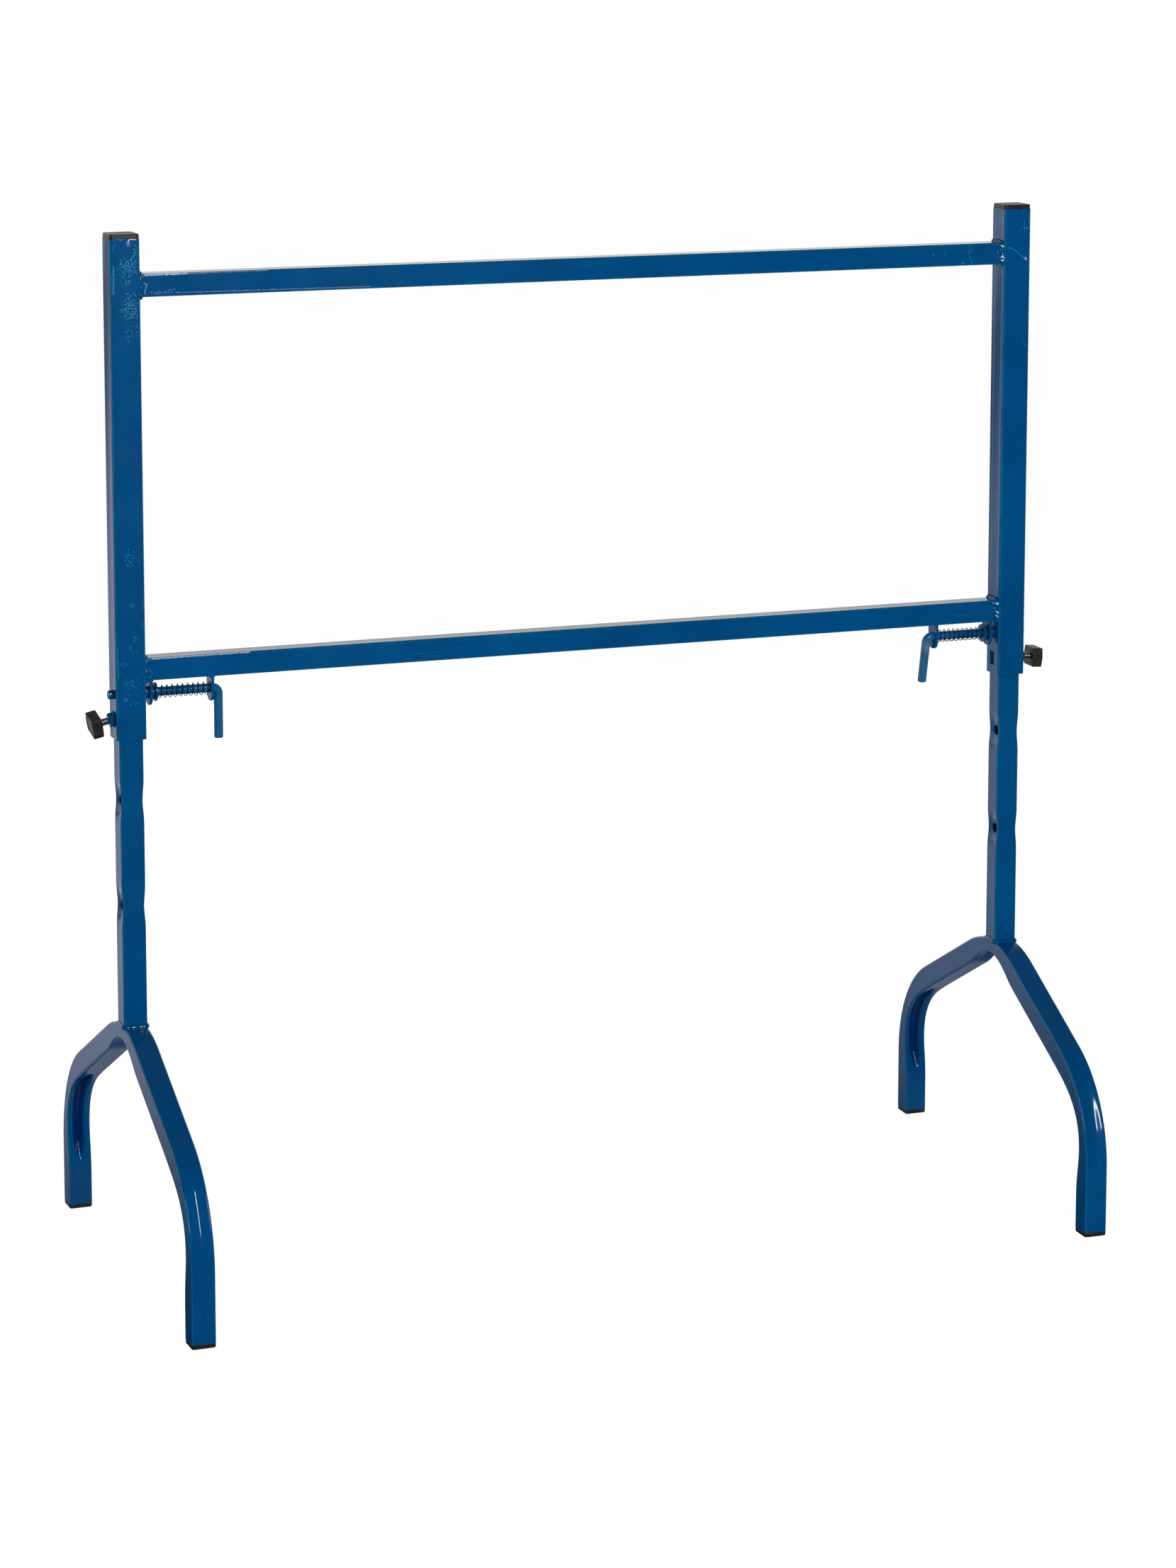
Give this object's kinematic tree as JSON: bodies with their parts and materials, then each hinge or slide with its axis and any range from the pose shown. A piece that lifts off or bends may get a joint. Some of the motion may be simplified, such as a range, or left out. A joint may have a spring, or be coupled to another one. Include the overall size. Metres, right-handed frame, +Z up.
{
  "type": "builders trestle",
  "caption": "Height-adjustable steel trestle: a welded frame of square tube on bowed legs that slide in its uprights, held by sprung locking pins and clamp screws.",
  "frame": {"origin": "on the floor, midway between the four feet", "axes": "+Z up, +X along the crossbars towards the right leg, +Y from the front feet to the rear feet"},
  "size_m": [1.3663, 0.6324, 1.376],
  "materials": {
    "blue_enamel": "glossy blue enamel, worn",
    "black_plastic": "satin moulded plastic",
    "spring_wire": "dark spring steel",
    "zinc_plate": "dull zinc plate"
  },
  "bodies": {
    "frame": {"left_upright": "blue_enamel", "right_upright": "blue_enamel", "upper_crossbar": "blue_enamel", "lower_crossbar": "blue_enamel", "left_guide_lug": "blue_enamel", "right_guide_lug": "blue_enamel", "left_spring_lug": "blue_enamel", "right_spring_lug": "blue_enamel", "left_guide_bush": "blue_enamel", "right_guide_bush": "blue_enamel", "left_clamp_nut": "blue_enamel", "right_clamp_nut": "blue_enamel", "left_top_cap": "black_plastic", "right_top_cap": "black_plastic", "left_spring": "spring_wire", "right_spring": "spring_wire"},
    "left_leg": {"left_leg_tube": "blue_enamel", "left_leg_bow": "blue_enamel", "left_front_foot": "black_plastic", "left_rear_foot": "black_plastic"},
    "left_washer": {"left_washer": "blue_enamel"},
    "left_pin": {"left_locking_pin": "blue_enamel", "left_roll_pin": "zinc_plate"},
    "left_clamp_screw": {"left_clamp_screw": "zinc_plate"},
    "left_clamp_knob": {"left_clamp_knob": "black_plastic"},
    "right_leg": {"right_leg_tube": "blue_enamel", "right_leg_bow": "blue_enamel", "right_front_foot": "black_plastic", "right_rear_foot": "black_plastic"},
    "right_washer": {"right_washer": "blue_enamel"},
    "right_pin": {"right_locking_pin": "blue_enamel", "right_roll_pin": "zinc_plate"},
    "right_clamp_screw": {"right_clamp_screw": "zinc_plate"},
    "right_clamp_knob": {"right_clamp_knob": "black_plastic"}
  },
  "joints": [
    {"name": "left_leg_slide", "type": "slide", "parent": "frame", "child": "left_leg", "axis": [0, 0, 1], "range_m": [-0.56, 0.28]},
    {"name": "left_pin_pull", "type": "slide", "parent": "frame", "child": "left_washer", "axis": [1, 0, 0], "range_m": [0, 0.045], "stiffness_N_per_m": 600, "springref_m": -0.02, "deforming": ["left_spring"]},
    {"name": "left_pin_turn", "type": "hinge", "parent": "left_washer", "child": "left_pin", "pos_m": [-0.63, 0, 0.778], "axis": [1, 0, 0], "range_deg": [-120, 120]},
    {"name": "left_clamp_feed", "type": "slide", "parent": "frame", "child": "left_clamp_screw", "axis": [-0.9763, 0, -0.2164], "range_m": [0, 0.006]},
    {"name": "left_clamp_turn", "type": "hinge", "parent": "left_clamp_screw", "child": "left_clamp_knob", "pos_m": [-0.65, 0, 0.7455], "axis": [-0.9763, 0, -0.2164], "range_deg": [0, 1440]},
    {"name": "right_leg_slide", "type": "slide", "parent": "frame", "child": "right_leg", "axis": [0, 0, 1], "range_m": [-0.56, 0.28]},
    {"name": "right_pin_pull", "type": "slide", "parent": "frame", "child": "right_washer", "axis": [-1, 0, 0], "range_m": [0, 0.045], "stiffness_N_per_m": 600, "springref_m": -0.02, "deforming": ["right_spring"]},
    {"name": "right_pin_turn", "type": "hinge", "parent": "right_washer", "child": "right_pin", "pos_m": [0.63, 0, 0.778], "axis": [1, 0, 0], "range_deg": [-132, 108]},
    {"name": "right_clamp_feed", "type": "slide", "parent": "frame", "child": "right_clamp_screw", "axis": [0.9981, 0, -0.061], "range_m": [0, 0.006]},
    {"name": "right_clamp_turn", "type": "hinge", "parent": "right_clamp_screw", "child": "right_clamp_knob", "pos_m": [0.65, 0, 0.7415], "axis": [0.9981, 0, -0.061], "range_deg": [0, 1440]}
  ],
  "couplings": [
    {"joint": "left_clamp_turn", "follows": "left_clamp_feed", "rad_per_m": 4188.8},
    {"joint": "right_clamp_turn", "follows": "right_clamp_feed", "rad_per_m": 4188.8}
  ]
}
